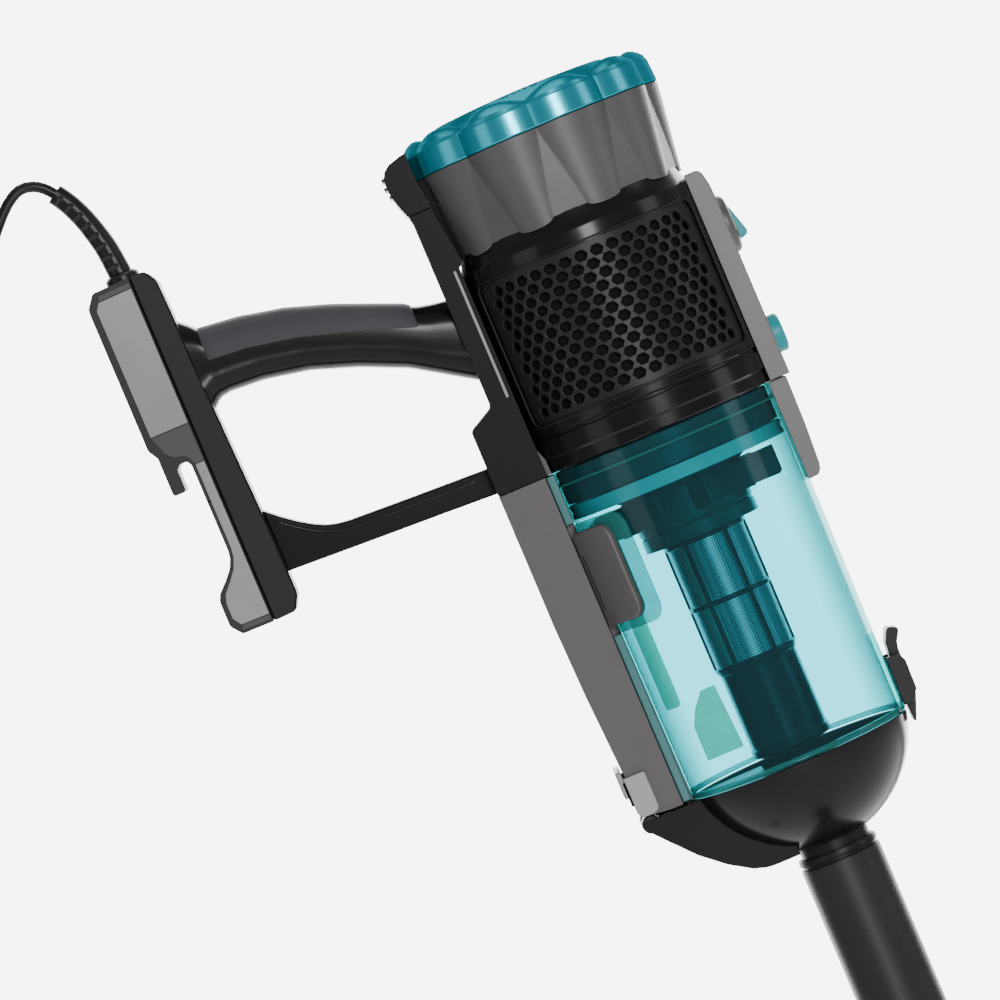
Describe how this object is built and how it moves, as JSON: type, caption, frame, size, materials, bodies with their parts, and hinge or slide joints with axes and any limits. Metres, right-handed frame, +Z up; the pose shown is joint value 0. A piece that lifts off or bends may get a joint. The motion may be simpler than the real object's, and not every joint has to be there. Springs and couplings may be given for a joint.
{
  "type": "upright vacuum cleaner",
  "caption": "Corded upright stick vacuum: round cyclone hand unit with petalled cap, hooked loop handle and clear dust bin on a wand with a floor head.",
  "frame": {"origin": "centre of the footprint at floor level, without the mains cord", "axes": "+Z up along the wand, +X to the front where the buttons are, -X to the handle"},
  "size_m": [0.5995, 0.261, 1.1596],
  "materials": {
    "head_shell": "satin moulded plastic",
    "sole_black": "matte",
    "bristle": "nylon bristle",
    "bumper_rubber": "soft rubber",
    "steel": "machined steel",
    "wheel_plastic": "satin",
    "tyre_rubber": "soft rubber",
    "neck_black": "satin",
    "wand_grey": "fine satin",
    "gloss_black": "high gloss",
    "bin_clear": "clear tinted plastic",
    "duct_grey": "satin metallic grey",
    "teal_clear": "clear tinted plastic",
    "teal_solid": "gloss",
    "clip_grey": "satin",
    "latch_black": "satin",
    "cyclone_dark": "gloss",
    "mesh_steel": "fine woven wire",
    "seal_cyan": "soft rubber",
    "grille_black": "matte",
    "collar_grey": "satin metallic grey",
    "cap_teal": "gloss metallic turquoise",
    "grip_soft": "soft touch",
    "handle_grey": "satin metallic grey",
    "panel_grey": "satin metallic grey",
    "bezel_grey": "satin metallic grey",
    "spring_steel": "wire",
    "filter_foam": "open foam",
    "motor_plastic": "satin",
    "motor_steel": "laminated steel",
    "alloy": "cast",
    "cord_black": "smooth pvc",
    "gasket_grey": "soft rubber"
  },
  "bodies": {
    "floor_head": {"head_cover": "head_shell", "sole_plate": "sole_black", "bristle_strips": "bristle", "bumper_strip": "bumper_rubber", "wheel_axles": "steel", "head_screws": "steel"},
    "left_wheel": {"wheel_left": "wheel_plastic", "tyre_left": "tyre_rubber"},
    "right_wheel": {"wheel_right": "wheel_plastic", "tyre_right": "tyre_rubber"},
    "neck": {"neck_duct": "neck_black"},
    "swivel": {"swivel_collar": "neck_black"},
    "wand_release": {"wand_button": "bumper_rubber"},
    "wand": {"wand_tube": "wand_grey", "wand_collar": "neck_black"},
    "bottom_door": {"dome_door": "gloss_black", "door_spigot": "neck_black", "door_gasket": "gasket_grey"},
    "dust_bin": {"bin_shell": "bin_clear", "duct_panel": "duct_grey", "inlet_cover": "duct_grey", "inlet_frame": "teal_clear", "inlet_duct": "teal_solid", "bin_lug": "panel_grey", "hinge_bracket": "clip_grey", "hinge_pin": "steel", "latch_bracket": "latch_black", "latch_pin": "steel", "dust_baffle": "teal_clear", "cyclone_body": "cyclone_dark", "mesh_screen": "mesh_steel", "inner_tube": "cyclone_dark", "seal_ring": "seal_cyan"},
    "latch": {"latch_lever": "latch_black"},
    "hand_unit": {"motor_housing": "gloss_black", "grille_left": "grille_black", "grille_right": "grille_black", "petal_collar": "collar_grey", "top_cap": "cap_teal", "rear_spine": "gloss_black", "spine_cover": "latch_black", "grip_core": "gloss_black", "grip_cover": "grip_soft", "lower_arm": "gloss_black", "handle_housing": "handle_grey", "handle_inner": "gloss_black", "front_panel": "panel_grey", "rocker_bezel": "bezel_grey", "button_spring": "spring_steel", "pre_filter": "filter_foam", "fan_shroud": "motor_plastic", "motor_stator": "motor_steel", "strain_relief": "cord_black", "power_cord": "cord_black", "cord_coil": "cord_black", "plug": "cord_black"},
    "rocker": {"power_rocker": "cap_teal"},
    "release_button": {"bin_button": "cap_teal"},
    "rotor": {"motor_shaft": "steel", "impeller": "alloy"}
  },
  "joints": [
    {"name": "left_wheel_spin", "type": "hinge", "parent": "floor_head", "child": "left_wheel", "pos_m": [0.018, 0.106, 0.017], "axis": [0, 1, 0], "continuous": true},
    {"name": "right_wheel_spin", "type": "hinge", "parent": "floor_head", "child": "right_wheel", "pos_m": [0.018, -0.106, 0.017], "axis": [0, 1, 0], "continuous": true},
    {"name": "neck_tilt", "type": "hinge", "parent": "floor_head", "child": "neck", "pos_m": [0.039, 0, 0.042], "axis": [0, -1, 0], "range_deg": [0, 75]},
    {"name": "neck_swivel", "type": "hinge", "parent": "neck", "child": "swivel", "pos_m": [0.064, 0, 0.104], "axis": [0, 0, 1], "range_deg": [-60, 60]},
    {"name": "wand_release_press", "type": "slide", "parent": "swivel", "child": "wand_release", "axis": [-1, 0, 0], "range_m": [0, 0.0022], "stiffness_N_per_m": 400},
    {"name": "wand_pull", "type": "slide", "parent": "swivel", "child": "wand", "axis": [0, 0, 1], "range_m": [0, 0.05]},
    {"name": "unit_pull", "type": "slide", "parent": "wand", "child": "bottom_door", "axis": [0, 0, 1], "range_m": [0, 0.04]},
    {"name": "door_hinge", "type": "hinge", "parent": "bottom_door", "child": "dust_bin", "pos_m": [-0.0065, 0, 0.7971], "axis": [0, -1, 0], "range_deg": [0, 80]},
    {"name": "latch_press", "type": "hinge", "parent": "dust_bin", "child": "latch", "pos_m": [0.12, 0, 0.8133], "axis": [0, -1, 0], "range_deg": [0, 8], "stiffness_Nm_per_rad": 0.4},
    {"name": "bin_lift", "type": "slide", "parent": "dust_bin", "child": "hand_unit", "axis": [0, 0, 1], "range_m": [0, 0.1]},
    {"name": "rocker_tilt", "type": "hinge", "parent": "hand_unit", "child": "rocker", "pos_m": [0.124, 0, 1.0236], "axis": [0, 1, 0], "range_deg": [-8, 8]},
    {"name": "bin_button_press", "type": "slide", "parent": "hand_unit", "child": "release_button", "axis": [-1, 0, 0], "range_m": [0, 0.003], "stiffness_N_per_m": 500},
    {"name": "rotor_spin", "type": "hinge", "parent": "hand_unit", "child": "rotor", "pos_m": [0.064, 0, 0.9536], "axis": [0, 0, 1], "continuous": true}
  ]
}
